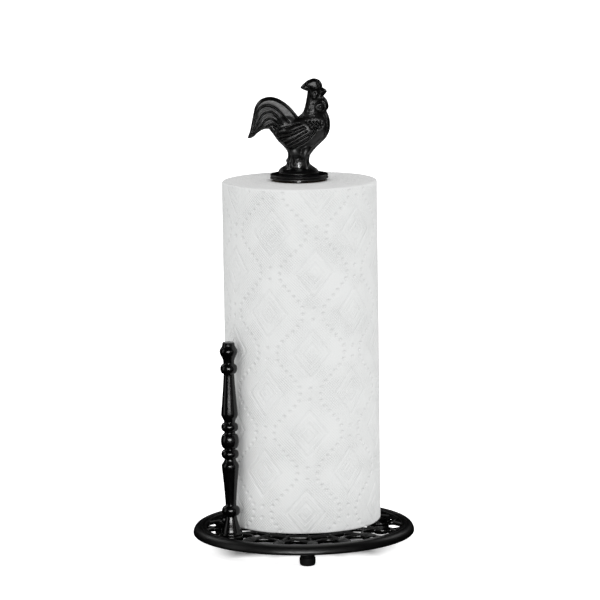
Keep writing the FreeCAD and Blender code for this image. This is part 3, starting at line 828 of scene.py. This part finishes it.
def pressed(arc, height):
    """How deep the pattern is pressed in, 0 to 1: nested diamonds between zigzag rows of dots."""
    level = height - PATTERN_LEVEL
    arc = arc - PATTERN_TURN - LEAN * level
    column = np.round(arc / COLUMN)
    across = arc - column * COLUMN
    share = level / PITCH - 0.5 * np.mod(column, 2)

    def above(rise):
        return (np.mod(share - rise / PITCH + 0.5, 1) - 0.5) * PITCH

    def dot(aside, rise):
        return np.exp(-((np.hypot(across - aside, above(rise) * 1.15) / 1.35) ** 4))

    diamond = np.abs(across) / HALF_WIDTH + np.abs(above(0)) / HALF_HEIGHT
    to_mm = 1 / math.hypot(1 / HALF_WIDTH, 1 / HALF_HEIGHT)
    depth = np.zeros(arc.shape)
    for size, width, strength in NESTED:
        depth = np.maximum(depth, strength * np.exp(-((np.abs(diamond - size) * to_mm / width) ** 2)))
    for beyond, rise in ZIGZAG:
        for side in (-1, 1):
            for way in (-1, 1):
                depth = np.maximum(depth, dot(side * (COLUMN / 2 + beyond), way * rise))
    for way in (-1, 1):
        depth = np.maximum(depth, dot(0.0, PITCH / 2 + way * 4.6))
    return depth


def make_roll():
    """The wound towel: pressed outer sheet, soft edges, slightly uneven ends and a bore for the core."""
    low, high = roll_low[2], roll_high[2]
    segments, rows, rings = 500, 346, 30
    ease = 1.6
    inner = CORE_RADIUS + 0.02
    wall = np.linspace(low + ease, high - ease, rows)
    corner = np.linspace(0, math.pi / 2, 5)[1:-1]
    rounding = [(ROLL_RADIUS - ease * (1 - math.cos(a)), ease * (1 - math.sin(a))) for a in corner]
    profile = [(ROLL_RADIUS, z, 1.0) for z in wall]
    profile += [(r, high - drop, 0.5) for r, drop in rounding]
    across = np.linspace(ROLL_RADIUS - ease, inner, rings)
    profile += [(r, high, 0.0) for r in across]
    profile += [(r, low, 0.0) for r in across[::-1]]
    profile += [(r, low + drop, 0.5) for r, drop in rounding[::-1]]
    profile = np.array(profile)

    angle = SHEET_EDGE - TURN + np.linspace(0, TURN, segments, endpoint=False)[None, :]
    radius, height, outer = (profile[:, i][:, None] for i in range(3))
    arc = np.mod(angle + math.pi / 2 + math.pi, TURN) - math.pi
    around = (angle - angle[0, 0]) / TURN
    sag = 0.16 * np.sin(3 * angle + 1.0) + 0.1 * np.sin(5 * angle + height / 60)
    sag = sag + 0.08 * np.sin(7 * angle - height / 37)
    press = pressed(arc * ROLL_RADIUS, height + 0 * angle)
    swell = 0.35 * (around - 0.6) + sag - 1.25 * press
    radius = radius + outer * swell
    fade = np.clip((radius - inner) / 6, 0, 1) * (1 - (outer > 0))
    crumple = 0.22 * np.sin(radius * 0.9 + 2 * angle) + 0.16 * np.sin(radius * 2.3 - 3 * angle)
    height = height + fade * crumple * np.where(height > (low + high) / 2, -1, 1)
    points = np.stack([radius * np.cos(angle), radius * np.sin(angle), height + 0 * angle], -1)
    points = points.reshape(-1, 3)
    faces = grid_faces(len(profile), segments)
    add_mesh("towel_roll_wound", points, faces, PAPER, "roll", ["towel_roll"])


# --- the CAD nodes that stay -----------------------------------------------------------------------


def finish_cad_nodes():
    """Steel hardware and the board core keep their CAD shape and get their materials."""
    for node in ("centre_post", "post_washer", "post_nut", "tear_bar_washer", "tear_bar_screw"):
        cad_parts[node].data.materials.clear()
        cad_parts[node].data.materials.append(STEEL)
    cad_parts["roll_core"].data.materials.clear()
    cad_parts["roll_core"].data.materials.append(BOARD)


# --- studio ----------------------------------------------------------------------------------------


def make_camera():
    """A long lens from the front, a little above the top, rolled slightly."""
    data = bpy.data.cameras.new("camera")
    camera = bpy.data.objects.new("camera", data)
    bpy.context.scene.collection.objects.link(camera)
    data.sensor_width = 36
    data.lens = 223.5
    data.clip_end = 60
    camera.location = (-0.0007, -3.0, 0.6618)
    aim = Vector((-0.0007, 0, 0.2038))
    look = (aim - camera.location).to_track_quat("-Z", "Y")
    camera.rotation_mode = "QUATERNION"
    camera.rotation_quaternion = look @ Quaternion((0, 0, 1), math.radians(-0.75))
    bpy.context.scene.camera = camera


def make_floor():
    """A wide level floor under the feet."""
    mesh = bpy.data.meshes.new("floor")
    half = 14.0
    corner_points = [(-half, -half, 0), (half, -half, 0), (half, half, 0), (-half, half, 0)]
    mesh.from_pydata(corner_points, [], [(0, 1, 2, 3)])
    mesh.materials.append(floor_look())
    floor = bpy.data.objects.new("floor", mesh)
    bpy.context.scene.collection.objects.link(floor)
    floor.visible_glossy = False
    floor.visible_diffuse = False


def add_lamp(name, kind, place):
    """A lamp that points from its place at the middle of the object."""
    data = bpy.data.lights.new(name, kind)
    lamp = bpy.data.objects.new(name, data)
    bpy.context.scene.collection.objects.link(lamp)
    lamp.location = place
    lamp.rotation_mode = "QUATERNION"
    lamp.rotation_quaternion = (Vector((0, 0, 0.18)) - Vector(place)).to_track_quat("-Z", "Y")
    return lamp


def add_softbox(name, azimuth, distance, height, width, tall, radiance):
    """A rectangle of light that only gloss sees. Its azimuth runs from the front towards +X."""
    angle = math.radians(azimuth)
    lamp = add_lamp(name, "AREA", (distance * math.sin(angle), -distance * math.cos(angle), height))
    lamp.data.shape = "RECTANGLE"
    lamp.data.size, lamp.data.size_y = width, tall
    lamp.data.energy = radiance * math.pi * width * tall
    lamp.visible_diffuse = False
    lamp.visible_camera = False


def add_key(place, strength, angle):
    """A distant lamp for everything but gloss."""
    lamp = add_lamp("key", "SUN", place)
    lamp.data.energy = strength
    lamp.data.angle = math.radians(angle)
    lamp.visible_glossy = False


def make_lights():
    """Even light on the paper with a soft key, and long softboxes that draw streaks on the iron."""
    world = bpy.data.worlds.new("studio")
    bpy.context.scene.world = world
    world.use_nodes = True
    world.node_tree.nodes["Background"].inputs["Color"].default_value = (1, 1, 1, 1)
    world.node_tree.nodes["Background"].inputs["Strength"].default_value = 0.85
    world.cycles_visibility.glossy = False
    add_key((0.5, -1.9, 2.0), 0.62, 14)
    add_softbox("softbox_left", -78, 2.0, 0.6, 0.7, 1.7, 0.8)
    add_softbox("softbox_right", 44, 2.2, 0.7, 0.3, 1.7, 0.55)
    add_softbox("softbox_front", -3, 1.4, 0.34, 0.9, 0.28, 18.0)
    add_softbox("softbox_rear_left", -130, 2.2, 1.5, 0.8, 0.9, 2.0)
    add_softbox("softbox_rear_right", 130, 2.2, 1.5, 0.8, 0.9, 2.0)
    bpy.context.scene.view_settings.view_transform = "Standard"


make_camera()
make_rim()
make_openwork()
make_feet()
make_tear_bar()
make_disc()
make_stud()
make_rooster()
make_roll()
finish_cad_nodes()
make_floor()
make_lights()
